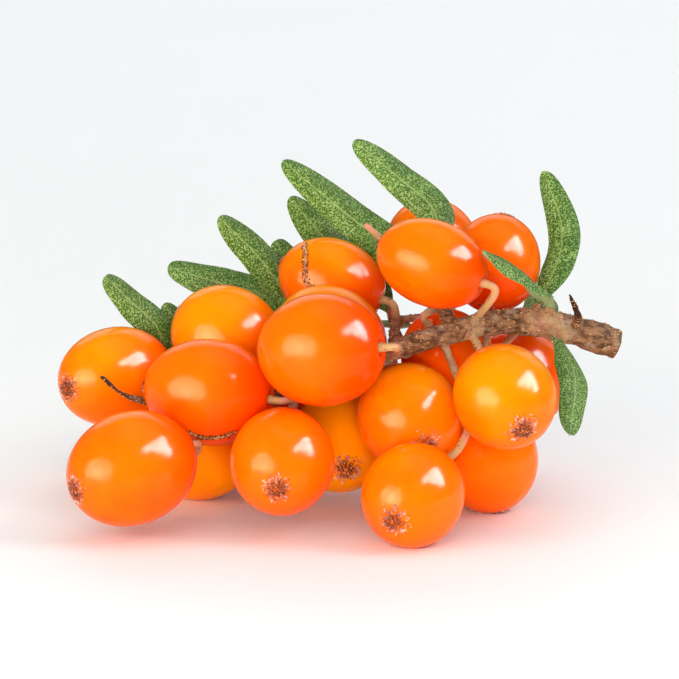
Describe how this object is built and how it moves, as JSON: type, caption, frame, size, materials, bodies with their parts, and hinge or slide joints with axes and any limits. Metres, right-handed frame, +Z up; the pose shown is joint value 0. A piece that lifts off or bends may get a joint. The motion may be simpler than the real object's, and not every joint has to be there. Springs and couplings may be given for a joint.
{
  "type": "sea buckthorn sprig",
  "caption": "Fresh sea buckthorn sprig lying on its side: oval orange berries crowded round a thorny woody twig with narrow blunt green leaves.",
  "frame": {"origin": "on the table, at the middle of the bottom of the sprig's bounding box", "axes": "+X from the thorn tip towards the cut end of the twig, +Y from the side that faces the viewer towards the far side, +Z up from the table"},
  "size_m": [0.048, 0.039, 0.03],
  "materials": {
    "bark": "matt brown bark with a rusty and silvery scurf",
    "berry_skin": "thin glossy orange skin with a few scurfy scales",
    "leaf_blade": "matt green blade, finely speckled with pale scales"
  },
  "bodies": {
    "root": {"twig": "bark", "berry_01": "berry_skin", "berry_02": "berry_skin", "berry_03": "berry_skin", "berry_04": "berry_skin", "berry_05": "berry_skin", "berry_06": "berry_skin", "berry_07": "berry_skin", "berry_08": "berry_skin", "berry_09": "berry_skin", "berry_10": "berry_skin", "berry_11": "berry_skin", "berry_12": "berry_skin", "berry_13": "berry_skin", "berry_14": "berry_skin", "berry_15": "berry_skin", "berry_16": "berry_skin", "berry_17": "berry_skin", "berry_18": "berry_skin", "berry_19": "berry_skin", "berry_20": "berry_skin", "berry_21": "berry_skin", "berry_22": "berry_skin", "berry_23": "berry_skin", "berry_24": "berry_skin", "leaf_01": "leaf_blade", "leaf_02": "leaf_blade", "leaf_03": "leaf_blade", "leaf_04": "leaf_blade", "leaf_05": "leaf_blade", "leaf_06": "leaf_blade", "leaf_07": "leaf_blade", "leaf_08": "leaf_blade", "leaf_09": "leaf_blade", "leaf_10": "leaf_blade", "leaf_11": "leaf_blade", "leaf_12": "leaf_blade", "leaf_13": "leaf_blade", "leaf_14": "leaf_blade"}
  },
  "joints": []
}
